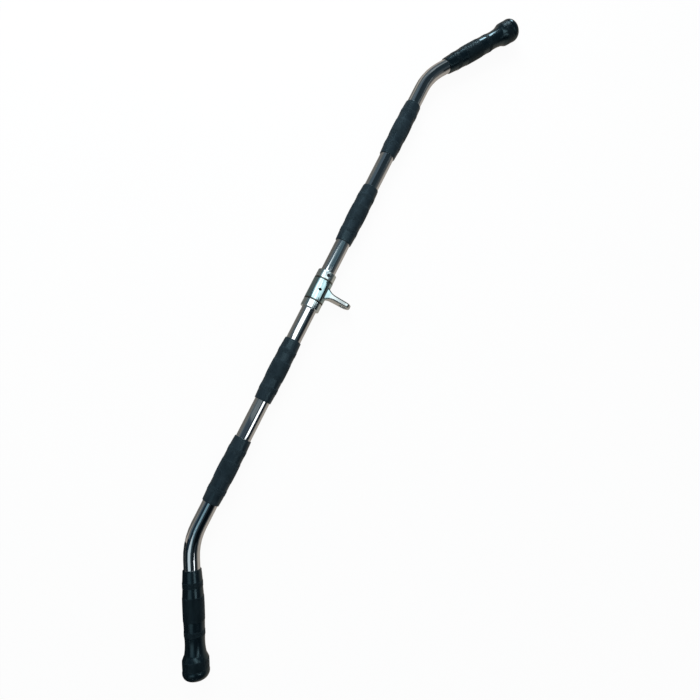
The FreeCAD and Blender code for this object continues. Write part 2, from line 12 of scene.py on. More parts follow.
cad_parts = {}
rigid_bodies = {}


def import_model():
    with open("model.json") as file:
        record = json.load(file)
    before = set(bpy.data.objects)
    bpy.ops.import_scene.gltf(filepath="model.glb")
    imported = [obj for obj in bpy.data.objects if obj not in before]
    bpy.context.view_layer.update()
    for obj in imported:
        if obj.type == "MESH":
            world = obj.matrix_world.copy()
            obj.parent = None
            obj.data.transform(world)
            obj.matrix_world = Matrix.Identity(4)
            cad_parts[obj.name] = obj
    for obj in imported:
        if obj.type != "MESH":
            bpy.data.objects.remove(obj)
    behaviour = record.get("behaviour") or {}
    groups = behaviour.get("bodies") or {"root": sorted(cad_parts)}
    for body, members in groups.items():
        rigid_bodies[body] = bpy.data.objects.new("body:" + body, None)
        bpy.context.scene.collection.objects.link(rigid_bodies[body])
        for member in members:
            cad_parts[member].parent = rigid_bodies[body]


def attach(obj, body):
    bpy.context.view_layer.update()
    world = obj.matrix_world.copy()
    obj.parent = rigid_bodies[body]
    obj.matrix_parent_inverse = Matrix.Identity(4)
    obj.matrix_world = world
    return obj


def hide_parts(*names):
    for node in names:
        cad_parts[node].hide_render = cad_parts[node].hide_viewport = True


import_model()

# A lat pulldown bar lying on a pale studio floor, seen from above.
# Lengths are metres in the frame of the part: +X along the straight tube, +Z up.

logging.basicConfig(level=logging.INFO, format="%(message)s")
LOG = logging.getLogger("bar")

Colour = Tuple[float, float, float]
Place = Tuple[float, float, float]
Span = Tuple[float, float]
Point = Tuple[float, float]
Socket = Union[str, int]

MM = 0.001
CLOSE = 0.001 * MM
BAR_AXIS: Place = (0.0, -0.0492739, 0.0047261)
EYE_CENTRE: Place = (0.0, 0.0, 0.0)
OIL_HOLE: Place = (0.0, BAR_AXIS[1], 18.8 * MM)
WHITE: Colour = (1.0, 1.0, 1.0)


class Side(Enum):
    """The two halves of the bar."""

    LEFT = -1
    RIGHT = 1

    @property
    def label(self) -> str:
        """The side's word in node names."""
        return self.name.lower()


class Band(Enum):
    """How a band of a rubber grip is finished."""

    SMOOTH = 0
    GRAINED = 1


# Materials


@dataclass(frozen=True)
class Cloud:
    """A noise pattern on object coordinates.

    Args:
        scale: Its density per metre.
        detail: How many finer layers it has.
        roughness: How strong the finer layers are.
        stretch: Scale of each axis.
    """

    scale: float
    detail: float = 3.0
    roughness: float = 0.5
    stretch: Tuple[float, float, float] = (1.0, 1.0, 1.0)


@dataclass(frozen=True)
class Patch:
    """The part of a surface that lies near a point and is painted another tone, as painted shade or a painted
    highlight.

    Args:
        centre: The point in object coordinates.
        reach: How far from the point it goes.
        colour: Its tone.
        core_share: The share of its reach that has the full tone.
    """

    centre: Place
    reach: float
    colour: Colour
    core_share: float = 0.9


# Most of a cloud's grey lies in CLOUD_RANGE. The numbers below it pick sockets that share their names.
CLOUD_RANGE: Span = (0.35, 0.65)
MIX_FACTOR, MIX_FIRST, MIX_SECOND, MIX_RESULT = 0, 6, 7, 2
SHADER_FIRST, SHADER_SECOND = 1, 2


@dataclass(frozen=True)
class NodeTree:
    """Short ways to add nodes to a material or to the world.

    Args:
        owner: The material or the world whose tree is filled.
    """

    owner: bpy.types.ID

    @staticmethod
    def new(name: str) -> "NodeTree":
        """Makes a node material with a principled surface.

        Args:
            name: The material's name.

        Returns:
            Its tree.
        """
        material = bpy.data.materials.new(name)
        material.use_nodes = True
        return NodeTree(material)

    @property
    def surface(self) -> bpy.types.Node:
        """The principled surface."""
        return self.node("Principled BSDF")

    def node(self, name: str) -> bpy.types.Node:
        """A node that the tree has had from the start."""
        return self.owner.node_tree.nodes[name]

    def add(self, kind: str, **values: object) -> bpy.types.Node:
        """Adds a node and sets its inputs or properties.

        Args:
            kind: The node type without its ShaderNode prefix.
            values: Inputs by name with underscores for spaces, or properties in lower case.

        Returns:
            The new node.
        """
        node = self.owner.node_tree.nodes.new("ShaderNode" + kind)
        for name, value in values.items():
            socket = node.inputs.get(name.replace("_", " "))
            if socket is not None:
                socket.default_value = value
            else:
                setattr(node, name, value)
        return node

    def link(self, start: bpy.types.Node, output: Socket, end: bpy.types.Node, socket: Socket) -> None:
        """Joins an output to an input, each given by its name or number."""
        self.owner.node_tree.links.new(start.outputs[output], end.inputs[socket])

    def noise(self, cloud: Cloud) -> bpy.types.Node:
        """Adds a noise texture on object coordinates.

        Args:
            cloud: Its pattern.

        Returns:
            The texture node, whose grey output is Fac.
        """
        coordinates = self.add("TexCoord")
        mapping = self.add("Mapping", Scale=cloud.stretch)
        noise = self.add("TexNoise", Scale=cloud.scale, Detail=cloud.detail, Roughness=cloud.roughness)
        self.link(coordinates, "Object", mapping, "Vector")
        self.link(mapping, "Vector", noise, "Vector")
        return noise

    def remap(self, source: bpy.types.Node, output: str, given: Span, wanted: Span) -> bpy.types.Node:
        """Maps a range of a grey output to another range.

        Args:
            source: The node whose output is mapped.
            output: The output's name.
            given: The range that is mapped, past which its ends hold.
            wanted: What its ends become.

        Returns:
            The mapping node, whose output is Result.
        """
        node = self.add(
            "MapRange", From_Min=given[0], From_Max=given[1], To_Min=wanted[0], To_Max=wanted[1],
        )
        self.link(source, output, node, "Value")
        return node

    def roughen(self, noise: bpy.types.Node, polish: Span) -> None:
        """Varies the surface's roughness with a noise.

        Args:
            noise: The noise texture.
            polish: The least and the greatest roughness.
        """
        ranged = self.remap(noise, "Fac", CLOUD_RANGE, polish)
        self.link(ranged, "Result", self.surface, "Roughness")

    def tint(self, noise: bpy.types.Node, low: Colour, high: Colour) -> None:
        """Colours the surface between two tones with a noise.

        Args:
            noise: The noise texture.
            low: The tone where it is dark.
            high: The tone where it is bright.
        """
        ramp = self.add("ValToRGB")
        for stop, place, colour in zip(ramp.color_ramp.elements, CLOUD_RANGE, (low, high)):
            stop.position = place
            stop.color = (*colour, 1.0)
        self.link(noise, "Fac", ramp, "Fac")
        self.link(ramp, "Color", self.surface, "Base Color")

    def bump(self, noise: bpy.types.Node, distance: float) -> None:
        """Makes the surface uneven with a noise.

        Args:
            noise: The noise texture.
            distance: How deep its grey goes.
        """
        bump = self.add("Bump", Distance=distance, Strength=1.0)
        self.link(noise, "Fac", bump, "Height")
        self.link(bump, "Normal", self.surface, "Normal")

    def patch(self, patch: Patch) -> None:
        """Paints a part of an already tinted surface another tone, as painted shade or a painted highlight.

        Args:
            patch: Where it is and its tone.
        """
        coordinates = self.add("TexCoord")
        away = self.add("VectorMath", operation="DISTANCE")
        away.inputs[1].default_value = patch.centre
        self.link(coordinates, "Object", away, "Vector")
        edge = self.remap(away, "Value", (patch.core_share * patch.reach, patch.reach), (0.0, 1.0))
        plain = self.surface.inputs["Base Color"].links[0].from_socket
        mix = self.add("Mix", data_type="RGBA")
        mix.inputs[MIX_FIRST].default_value = (*patch.colour, 1.0)
        self.link(edge, "Result", mix, MIX_FACTOR)
        self.owner.node_tree.links.new(plain, mix.inputs[MIX_SECOND])
        self.link(mix, MIX_RESULT, self.surface, "Base Color")

    def looked_at(self) -> Tuple[bpy.types.Node, bpy.types.Node]:
        """Tells rays that look from rays that light.

        Returns:
            The light path, and a node whose Value is 1 for camera, mirror and glass rays and else 0.
        """
        path = self.add("LightPath")
        indirect = self.add("Math", operation="MAXIMUM")
        self.link(path, "Is Glossy Ray", indirect, 0)
        self.link(path, "Is Transmission Ray", indirect, 1)
        seen = self.add("Math", operation="MAXIMUM")
        self.link(path, "Is Camera Ray", seen, 0)
        self.link(indirect, "Value", seen, 1)
        return path, seen


@dataclass(frozen=True)
class ChromeFinish:
    """Bright plate over polished steel, with a faint uneven haze.

    Args:
        name: The material's name.
        colour: The plate's tone.
        dull: The tone where the plate is hazy.
        polish: The least and the greatest roughness.
        wave: Depth of the uneven polish.
        ripple: Pattern of the uneven polish.
        patches: Parts of the surface painted another tone: painted shade or painted highlights.
        haze: Pattern of the haze.
    """

    name: str
    colour: Colour
    dull: Colour
    polish: Span
    wave: float
    ripple: Cloud
    patches: Tuple[Patch, ...] = ()
    haze: Cloud = Cloud(38.0, 4.0, 0.55)

    def build(self) -> bpy.types.Material:
        """Makes the node material.

        Returns:
            The material.
        """
        tree = NodeTree.new(self.name)
        tree.surface.inputs["Metallic"].default_value = 1.0
        haze = tree.noise(self.haze)
        tree.roughen(haze, self.polish)
        tree.tint(haze, self.colour, self.dull)
        for patch in self.patches:
            tree.patch(patch)
        tree.bump(tree.noise(self.ripple), self.wave)
        return tree.owner


@dataclass(frozen=True)
class RubberFinish:
    """Moulded rubber, blue-black, a little uneven in tone and sheen.

    Args:
        name: The material's name.
        dark: The tone in its darker clouds.
        light: The tone in its lighter clouds.
        sheen: The least and the greatest roughness.
        depth: Depth of the fine skin.
        skin: Pattern of the fine skin.
        specular: How strongly the skin mirrors light.
        tint: The colour of what the skin mirrors.
        bloom: Pattern of the tone and the sheen.
    """

    name: str
    dark: Colour
    light: Colour
    sheen: Span
    depth: float
    skin: Cloud
    specular: float
    tint: Colour = (0.55, 0.88, 1.0)
    bloom: Cloud = Cloud(60.0, 5.0, 0.6)

    def build(self) -> bpy.types.Material:
        """Makes the node material.

        Returns:
            The material.
        """
        tree = NodeTree.new(self.name)
        bloom = tree.noise(self.bloom)
        tree.tint(bloom, self.dark, self.light)
        tree.roughen(bloom, self.sheen)
        tree.surface.inputs["Specular IOR Level"].default_value = self.specular
        tree.surface.inputs["Specular Tint"].default_value = (*self.tint, 1.0)
        tree.bump(tree.noise(self.skin), self.depth)
        return tree.owner


@dataclass(frozen=True)
class MetalFinish:
    """Plain metal with a fine grain, such as oxide-black steel or bronze.

    Args:
        name: The material's name.
        dark: The tone in the grain.
        light: The tone between it.
        polish: The least and the greatest roughness.
        grain: Pattern of the grain.
        depth: Depth of the grain.
    """

    name: str
    dark: Colour
    light: Colour
    polish: Span
    grain: Cloud = Cloud(300.0, 4.0)
    depth: float = 0.02 * MM

    def build(self) -> bpy.types.Material:
        """Makes the node material.

        Returns:
            The material.
        """
        tree = NodeTree.new(self.name)
        tree.surface.inputs["Metallic"].default_value = 1.0
        grain = tree.noise(self.grain)
        tree.tint(grain, self.dark, self.light)
        tree.roughen(grain, self.polish)
        tree.bump(grain, self.depth)
        return tree.owner


@dataclass(frozen=True)
class PlasticFinish:
    """Dull moulded plastic.

    Args:
        name: The material's name.
        dark: The darker tone.
        light: The lighter tone.
        sheen: The least and the greatest roughness.
        grain: Pattern of the tone, the sheen and the surface.
        depth: Depth of the surface's grain.
    """

    name: str
    dark: Colour
    light: Colour
    sheen: Span = (0.45, 0.60)
    grain: Cloud = Cloud(220.0, 3.0)
    depth: float = 0.02 * MM

    def build(self) -> bpy.types.Material:
        """Makes the node material.

        Returns:
            The material.
        """
        tree = NodeTree.new(self.name)
        grain = tree.noise(self.grain)
        tree.tint(grain, self.dark, self.light)
        tree.roughen(grain, self.sheen)
        tree.bump(grain, self.depth)
        return tree.owner


TURNED_RIPPLE = Cloud(420.0, 2.0)
CAST_RIPPLE = Cloud(55.0, 2.0)
SATIN_SKIN = Cloud(1500.0, 3.0, 0.6)
GRAIN_SKIN = Cloud(1800.0, 3.0, 0.6)

# Painted shade: the oil hole and the tube seen through it are painted near-black.
OIL_HOLE_PAINTED_SHADE = Patch(OIL_HOLE, 3.8 * MM, (0.010, 0.010, 0.010))
# Painted highlight: the lug is painted a paler tone than the rest of the hanger casting.
LUG_PAINTED_HIGHLIGHT = Patch(EYE_CENTRE, 34.0 * MM, (0.68, 0.74, 0.75))
# The tube and the hanger carry the oil hole's painted shade, and the hanger also carries the lug's painted
# highlight.
TUBE_CHROME = ChromeFinish(
    "tube_plate", (0.80, 0.83, 0.86), (0.74, 0.77, 0.80),
    polish=(0.03, 0.07), wave=0.001 * MM, ripple=TURNED_RIPPLE, patches=(OIL_HOLE_PAINTED_SHADE,),
)
CAST_CHROME = ChromeFinish(
    "cast_plate", (0.47, 0.64, 0.67), (0.42, 0.58, 0.61),
    polish=(0.04, 0.08), wave=0.07 * MM, ripple=CAST_RIPPLE, patches=(LUG_PAINTED_HIGHLIGHT, OIL_HOLE_PAINTED_SHADE),
)
COLLAR_CHROME = ChromeFinish(
    "collar_plate", (0.79, 0.89, 0.91), (0.71, 0.82, 0.85),
    polish=(0.06, 0.11), wave=0.003 * MM, ripple=TURNED_RIPPLE,
)
HAND_SATIN = RubberFinish(
    "hand_satin_rubber", (0.0120, 0.0205, 0.0275), (0.0175, 0.0285, 0.0375),
    sheen=(0.26, 0.34), depth=0.006 * MM, skin=SATIN_SKIN, specular=0.50,
)
HAND_GRAINED = RubberFinish(
    "hand_grained_rubber", (0.0150, 0.0255, 0.0335), (0.0240, 0.0390, 0.0500),
    sheen=(0.42, 0.50), depth=0.02 * MM, skin=GRAIN_SKIN, specular=0.35,
)
END_SATIN = RubberFinish(
    "end_satin_rubber", (0.0022, 0.0055, 0.0085), (0.0042, 0.0090, 0.0130),
    sheen=(0.20, 0.26), depth=0.004 * MM, skin=SATIN_SKIN, specular=0.75,
)
END_GRAINED = RubberFinish(
    "end_grained_rubber", (0.0030, 0.0070, 0.0105), (0.0065, 0.0130, 0.0180),
    sheen=(0.40, 0.48), depth=0.02 * MM, skin=GRAIN_SKIN, specular=0.50,
)
BLACK_STEEL = MetalFinish("black_steel", (0.045, 0.045, 0.05), (0.10, 0.10, 0.11), (0.30, 0.45))
BRONZE = MetalFinish("oiled_bronze", (0.17, 0.16, 0.14), (0.30, 0.285, 0.25), (0.30, 0.42))
PLUG_PLASTIC = PlasticFinish("plug_plastic", (0.018, 0.018, 0.019), (0.028, 0.028, 0.03))


# Where the pieces are


@dataclass(frozen=True)
class Layout:
    """The bar's axis and its bent ends, as the part has them.

    Args:
        axis: The middle of the straight tube.
        rise: Degrees that the bent ends are tilted up about the straight.
        bend: Degrees that each end turns out of the straight.
        corner: From the middle to where the straight lines of a bend meet.
        grip_start: From that corner to the mouth of the end grip.
    """

    axis: Place = BAR_AXIS
    rise: float = 2.30197
    bend: float = 30.0
    corner: float = 447.595 * MM
    grip_start: float = 42.495 * MM

    def on_bar(self, along: float) -> Matrix:
        """A frame on the straight axis, with +X along it."""
        return Matrix.Translation(Vector(self.axis) + Vector((along, 0.0, 0.0)))

    def on_arm(self, side: Side, station: float) -> Matrix:
        """A frame on a bent end, with +X outwards.

        Args:
            side: Which end.
            station: How far past the bend's corner.

        Returns:
            The frame.
        """
        heading = self.bend if side is Side.RIGHT else 180.0 - self.bend
        tilt = Matrix.Rotation(math.radians(self.rise), 4, "X")
        turn = Matrix.Rotation(math.radians(heading), 4, "Z")
        corner = Matrix.Translation(Vector((side.value * self.corner, 0.0, 0.0)))
        along = Matrix.Translation(Vector((station, 0.0, 0.0)))
        return Matrix.Translation(Vector(self.axis)) @ tilt @ corner @ turn @ along


# Mesh helpers


def finish_piece(
    mesh: bmesh.types.BMesh, name: str, materials: Sequence[bpy.types.Material],
) -> bpy.types.Object:
    """Turns a bmesh into an object of the scene.

    Args:
        mesh: The finished bmesh, which is freed.
        name: The object's name.
        materials: One material per slot.

    Returns:
        The new object.
    """
    data = bpy.data.meshes.new(name)
    mesh.to_mesh(data)
    mesh.free()
    for material in materials:
        data.materials.append(material)
    piece = bpy.data.objects.new(name, data)
    bpy.context.scene.collection.objects.link(piece)
    LOG.info("%-22s %6d faces", name, len(data.polygons))
    return piece


def bulged(start: Point, end: Point, crown: float, steps: int) -> List[Point]:
    """Points on an arc between two points, without the last one.

    Args:
        start: First point, (along, radius).
        end: Last point.
        crown: How far the arc's middle stands off the chord, outwards if positive.
        steps: Number of pieces.

    Returns:
        The points from start up to but without end.
    """
    (ax, ay), (bx, by) = start, end
    chord = math.hypot(bx - ax, by - ay)
    if abs(crown) < CLOSE:
        return [(ax + (bx - ax) * i / steps, ay + (by - ay) * i / steps) for i in range(steps)]
    radius = chord * chord / (8 * abs(crown)) + abs(crown) / 2
    half = math.asin(min(1.0, chord / (2 * radius)))
    if abs(crown) > chord / 2:
        half = math.pi - half
    nx, ny = -(by - ay) / chord, (bx - ax) / chord
    sign = 1.0 if crown > 0 else -1.0
    points = []
    for i in range(steps):
        turn = half * (2 * i / steps - 1)
        along = radius * math.sin(turn) + chord / 2
        off = sign * (radius * math.cos(turn) - (radius - abs(crown)))
        points.append((ax + (bx - ax) * along / chord + nx * off, ay + (by - ay) * along / chord + ny * off))
    return points


# Rubber grips


@dataclass(frozen=True)
class Stretch:
    """One band of a grip's outside, from its start to the next band's start.

    Args:
        start: Station of its start.
        radius: Radius there.
        crown: How far it bulges outwards, or inwards if negative.
        steps: Rows of faces along it.
        band: How it is finished.
    """

    start: float
    radius: float
    crown: float = 0.0
    steps: int = 1
    band: Band = Band.SMOOTH


@dataclass(frozen=True)
class HandShape:
    """The outside of a hand grip, which is the same from both ends.

    Args:
        length: Its length.
        end_radius: Its radius behind the chamfer of each end.
        band_radius: Its radius where its bands meet.
        chamfer: Size of each end's rounded chamfer.
        chamfer_crown: How far the chamfer bulges.
        ring_inset: From an end to the grained ring.
        smooth_inset: From an end to the smooth band after the ring.
        palm_inset: From an end to the grained band in the middle.
        palm_crown: How far that band bulges.
        columns: Faces round the grip.
    """

    length: float = 111.0 * MM
    end_radius: float = 14.2 * MM
    band_radius: float = 15.1 * MM
    chamfer: float = 0.8 * MM
    chamfer_crown: float = 0.23 * MM
    ring_inset: float = 17.5 * MM
    smooth_inset: float = 26.0 * MM
    palm_inset: float = 39.0 * MM
    palm_crown: float = 0.4 * MM
    columns: int = 36

    def bands(self) -> List[Stretch]:
        """The bands from one end to the other.

        Returns:
            The bands; the last one only closes the outline.
        """
        end, band = self.end_radius, self.band_radius
        lip, cut, crown = end - self.chamfer, self.chamfer, self.chamfer_crown
        half = self.length / 2
        ring, smooth, palm = half - self.ring_inset, half - self.smooth_inset, half - self.palm_inset
        return [
            Stretch(-half, lip, crown, steps=5),
            Stretch(cut - half, end, steps=4),
            Stretch(-ring, band, steps=3, band=Band.GRAINED),
            Stretch(-smooth, band, steps=6),
            Stretch(-palm, band, self.palm_crown, steps=12, band=Band.GRAINED),
            Stretch(palm, band, steps=6),
            Stretch(smooth, band, steps=3, band=Band.GRAINED),
            Stretch(ring, band, steps=4),
            Stretch(half - cut, end, crown, steps=5),
            Stretch(half, lip),
        ]


@dataclass(frozen=True)
class EndShape:
    """The outside of an end grip, from its mouth to its tip.

    Stations are measured from the mouth, and each (start, end) pair is one band.

    Args:
        length: Its length.
        depth: How far its bore goes in.
        mouth_radius: Its radius behind the mouth's chamfer.
        chamfer: Size of the mouth's rounded chamfer.
        chamfer_crown: How far the chamfer bulges.
        first_ring: The grained ring near the mouth.
        first_radius: Radius of that ring.
        palm: The grained band that the palm holds.
        palm_radii: Its radius at its start and its end.
        palm_crown: How far it bulges.
        second_ring: The grained ring after the palm.
        second_radius: Radius of that ring.
        waist_crown: How far the waist after it is hollowed, as a negative bulge.
        flare_start: Where the waist goes over into the flare.
        flare_radius: Its radius there.
        flare_crown: How far the flare bulges.
        bulb_ring: The grained ring round the bulb.
        bulb_radius: Its radius at both borders.
        bulb_crown: How far it bulges.
        dome_crown: How far the dome behind it bulges.
        tip_start: Where the dome goes over into the blunt tip.
        tip_radius: Radius of the tip.
        tip_crown: How far the tip bulges.
        columns: Faces round the grip.
    """

    length: float = 165.0 * MM
    depth: float = 148.8 * MM
    mouth_radius: float = 14.4 * MM
    chamfer: float = 0.8 * MM
    chamfer_crown: float = 0.23 * MM
    first_ring: Span = (17.6 * MM, 26.6 * MM)
    first_radius: float = 15.5 * MM
    palm: Span = (40.0 * MM, 76.3 * MM)
    palm_radii: Span = (16.3 * MM, 16.2 * MM)
    palm_crown: float = 0.2 * MM
    second_ring: Span = (90.0 * MM, 98.0 * MM)
    second_radius: float = 15.8 * MM
    waist_crown: float = -1.1 * MM
    flare_start: float = 125.5 * MM
    flare_radius: float = 16.95 * MM
    flare_crown: float = 0.2 * MM
    bulb_ring: Span = (132.0 * MM, 146.5 * MM)
    bulb_radius: float = 19.9 * MM
    bulb_crown: float = 0.15 * MM
    dome_crown: float = 4.5 * MM
    tip_start: float = 162.2 * MM
    tip_radius: float = 10.5 * MM
    tip_crown: float = 0.75 * MM
    columns: int = 38

    def bands(self) -> List[Stretch]:
        """The bands from the mouth to the tip.

        Returns:
            The bands; the last one only closes the outline.
        """
        (first, first_end), (second, second_end) = self.first_ring, self.second_ring
        (palm, palm_end), (bulb, bulb_end) = self.palm, self.bulb_ring
        return [
            Stretch(0.0, self.mouth_radius - self.chamfer, self.chamfer_crown, steps=5),
            Stretch(self.chamfer, self.mouth_radius, steps=6),
            Stretch(first, self.first_radius, steps=3, band=Band.GRAINED),
            Stretch(first_end, self.first_radius, steps=6),
            Stretch(palm, self.palm_radii[0], self.palm_crown, steps=13, band=Band.GRAINED),
            Stretch(palm_end, self.palm_radii[1], steps=6),
            Stretch(second, self.second_radius, steps=3, band=Band.GRAINED),
            Stretch(second_end, self.second_radius, self.waist_crown, steps=16),
            Stretch(self.flare_start, self.flare_radius, self.flare_crown, steps=8),
            Stretch(bulb, self.bulb_radius, self.bulb_crown, steps=5, band=Band.GRAINED),
            Stretch(bulb_end, self.bulb_radius, self.dome_crown, steps=18),
            Stretch(self.tip_start, self.tip_radius, self.tip_crown, steps=8),
            Stretch(self.length, 0.0),
        ]


@dataclass
class Grip:
    """A turned rubber grip with smooth bands and raised grained bands.

    Args:
        name: The CAD node that it stands for.
        place: Its frame, with +X along its axis.
        stretches: Its outside from mouth to end; the last one only closes the outline.
        bore: Radius of its bore.
        depth: How far a closed bore goes in, or 0 where it runs right through.
        columns: Faces round it.
        slot: The material slot of the record; not used.
        relief: Height of the raised grain.
        groove: Gap left between two grains.
        least_wall: The least wall between the bore and a face of the outside.
        ring_reach: How near a band's border a ring of edges is taken as that border.
    """

    name: str
    place: Matrix
    stretches: List[Stretch]
    bore: float
    depth: float
    columns: int
    slot: str
    relief: float = 0.36 * MM
    groove: float = 0.40 * MM
    least_wall: float = 0.3 * MM
    ring_reach: float = 0.01 * MM

    def outline(self) -> Tuple[List[Point], List[Span]]:
        """The outside's outline.

        Returns:
            The points, and the (start, end) stations of the grained bands.
        """
        points: List[Point] = []
        grained: List[Span] = []
        for here, there in zip(self.stretches, self.stretches[1:]):
            start, end = (here.start, here.radius), (there.start, there.radius)
            points += bulged(start, end, here.crown, here.steps)
            if here.band is Band.GRAINED:
                grained.append((here.start, there.start))
        last = self.stretches[-1]
        points.append((last.start, last.radius))
        return points, grained

    def turn(self, outline: Iterable[Point]) -> bmesh.types.BMesh:
        """Spins an outline about the X axis.

        Args:
            outline: Its points, (along, radius).

        Returns:
            The closed mesh.
        """
        mesh = bmesh.new()
        chain: List[bmesh.types.BMVert] = []
        for along, radius in outline:
            if not chain:
                chain.append(bmesh.ops.create_vert(mesh, co=(along, 0.0, radius))["vert"][0])
                continue
            grown = bmesh.ops.extrude_vert_indiv(mesh, verts=[chain[-1]])["verts"][0]
            grown.co = (along, 0.0, radius)
            chain.append(grown)
        geometry = mesh.verts[:] + mesh.edges[:]
        bmesh.ops.spin(
            mesh, geom=geometry, cent=(0, 0, 0), axis=(1, 0, 0),
            angle=math.tau, steps=self.columns, use_merge=True,
        )
        bmesh.ops.remove_doubles(mesh, verts=mesh.verts[:], dist=CLOSE)
        bmesh.ops.recalc_face_normals(mesh, faces=mesh.faces[:])
        return mesh

    def band_faces(self, mesh: bmesh.types.BMesh, start: float, end: float) -> List[bmesh.types.BMFace]:
        """The outer faces between two stations.

        Args:
            mesh: The turned grip, still along the X axis.
            start: The first station.
            end: The last station.

        Returns:
            The faces.
        """
        found = []
        for face in mesh.faces:
            middle = face.calc_center_median()
            if start < middle.x < end and math.hypot(*middle.yz) > self.bore + self.least_wall:
                found.append(face)
        return found

    def grain(self, mesh: bmesh.types.BMesh, start: float, end: float) -> None:
        """Cuts the faces of a band into diamonds and raises them.

        Args:
            mesh: The turned grip, still along the X axis.
            start: Station where the band starts.
            end: Station where it ends.
        """
        band = self.band_faces(mesh, start, end)
        inside = set(band)
        inner_edges = [edge for edge in mesh.edges if edge.link_faces and inside.issuperset(edge.link_faces)]
        poked = bmesh.ops.poke(mesh, faces=band, offset=0.0)
        for centre in poked["verts"]:
            reach = sum(math.hypot(*edge.other_vert(centre).co.yz) for edge in centre.link_edges)
            reach /= len(centre.link_edges)
            pull = reach / math.hypot(*centre.co.yz)
            centre.co.y *= pull
            centre.co.z *= pull
        bmesh.ops.dissolve_edges(mesh, edges=inner_edges, use_verts=False, use_face_split=False)
        cut = self.band_faces(mesh, start, end)
        for face in cut:
            face.material_index = Band.GRAINED.value
        diamonds = [face for face in cut if len(face.verts) == 4]
        bmesh.ops.inset_individual(
            mesh, faces=diamonds, thickness=self.groove / 2, depth=self.relief, use_even_offset=True,
        )

    def shade(self, mesh: bmesh.types.BMesh, borders: Sequence[float]) -> None:
        """Shades the smooth bands round and keeps crisp rings where bands meet.

        Args:
            mesh: The grained grip, still along the X axis.
            borders: Stations of the crisp rings.
        """
        for face in mesh.faces:
            face.smooth = face.material_index == Band.SMOOTH.value
        for edge in mesh.edges:
            first, second = (vert.co.x for vert in edge.verts)
            level = abs(first - second) < CLOSE
            if level and any(abs(first - border) < self.ring_reach for border in borders):
                edge.smooth = False

    def build(self, materials: Sequence[bpy.types.Material]) -> bpy.types.Object:
        """Models the grip in its place.

        Args:
            materials: The smooth and the grained rubber.

        Returns:
            The piece, which rides on the bar and stands for its CAD node.
        """
        outside, grained = self.outline()
        first, last = self.stretches[0].start, self.stretches[-1].start
        if self.depth > 0:
            bottom = first + self.depth
            outline = [(bottom, 0.0), (bottom, self.bore), (first, self.bore)] + outside
        else:
            outline = [(first, self.bore)] + outside + [(last, self.bore), (first, self.bore)]
        mesh = self.turn(outline)
        for start, end in grained:
            self.grain(mesh, start, end)
        borders = [first, last] + [station for pair in grained for station in pair]
        self.shade(mesh, borders)
        bmesh.ops.transform(mesh, matrix=self.place, verts=mesh.verts[:])
        piece = finish_piece(mesh, self.name + "_rubber", materials)
        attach(piece, "bar")
        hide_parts(self.name)
        return piece


@dataclass(frozen=True)
class GripSet:
    """All six grips.

    Args:
        layout: Where the bar is.
        hand: Shape of the hand grips.
        end: Shape of the end grips.
        bore: Radius of every bore.
        centres: From the middle of the bar to the middle of the inner and of the outer grips.
    """

    layout: Layout
    hand: HandShape = HandShape()
    end: EndShape = EndShape()
    bore: float = 12.73 * MM
    centres: Tuple[Tuple[str, float], ...] = (("inner", 150.0 * MM), ("outer", 328.0 * MM))

    def build(self) -> None:
        """Models every grip."""
        hand_rubber = [HAND_SATIN.build(), HAND_GRAINED.build()]
        end_rubber = [END_SATIN.build(), END_GRAINED.build()]
        for side in Side:
            for word, centre in self.centres:
                Grip(
                    name="%s_grip_%s" % (word, side.label),
                    place=self.layout.on_bar(side.value * centre),
                    stretches=self.hand.bands(),
                    bore=self.bore,
                    depth=0.0,
                    columns=self.hand.columns,
                    slot="hand_grip_rubber",
                ).build(hand_rubber)
            Grip(
                name="end_grip_%s" % side.label,
                place=self.layout.on_arm(side, self.layout.grip_start),
                stretches=self.end.bands(),
                bore=self.bore,
                depth=self.end.depth,
                columns=self.end.columns,
                slot="end_grip_rubber",
            ).build(end_rubber)


# Metal and plastic pieces that keep their CAD shape


@dataclass(frozen=True)
class Hardware:
    """The tube, the hanger, its bushes, the stop collars, their screws and the plugs."""

    def dress(self) -> None:
        """Gives every carried-over node its finish."""
        finishes = {
            "bar_tube": TUBE_CHROME.build(),
            "hanger_body": CAST_CHROME.build(),
            "stop_collar": COLLAR_CHROME.build(),
            "set_screw": BLACK_STEEL.build(),
            "hanger_bush": BRONZE.build(),
            "tube_plug": PLUG_PLASTIC.build(),
        }
        for node in bpy.data.objects:
            for prefix, material in finishes.items():
                if node.type == "MESH" and node.name.startswith(prefix) and node.material_slots:
                    for slot in node.material_slots:
                        slot.material = material
                    LOG.info("%-22s dressed", node.name)


# Studio


@dataclass(frozen=True)
class Panel:
    """The place of a flat lamp or card.

    Args:
        name: The object's name.
        place: Its middle.
        aim: The point that it faces.
        size: Its width and height.
        roll: Degrees that it is turned about its own facing.
    """

    name: str
    place: Place
    aim: Place
    size: Span
    roll: float = 0.0

    def matrix(self) -> Matrix:
        """Its frame, with -Z towards the point that it faces.

        Returns:
            The frame.
        """
        facing = Vector(self.aim) - Vector(self.place)
        turn = facing.to_track_quat("-Z", "Y").to_matrix().to_4x4()
        roll = Matrix.Rotation(math.radians(self.roll), 4, "Z")
        return Matrix.Translation(Vector(self.place)) @ turn @ roll


LAMP_HEIGHT = 1.55
CARD_HEIGHT = 1.6
FLOOR_HEIGHT = -0.0120239
FLOOR_CARD_HEIGHT = -11.0 * MM


def overhead(
    name: str, x: float, y: float, size: Span, roll: float = 0.0, height: float = CARD_HEIGHT,
) -> Panel:
    """A level panel that hangs above the bar and faces down."""
    return Panel(name, (x, y, height), (x, y, 0.0), size, roll)


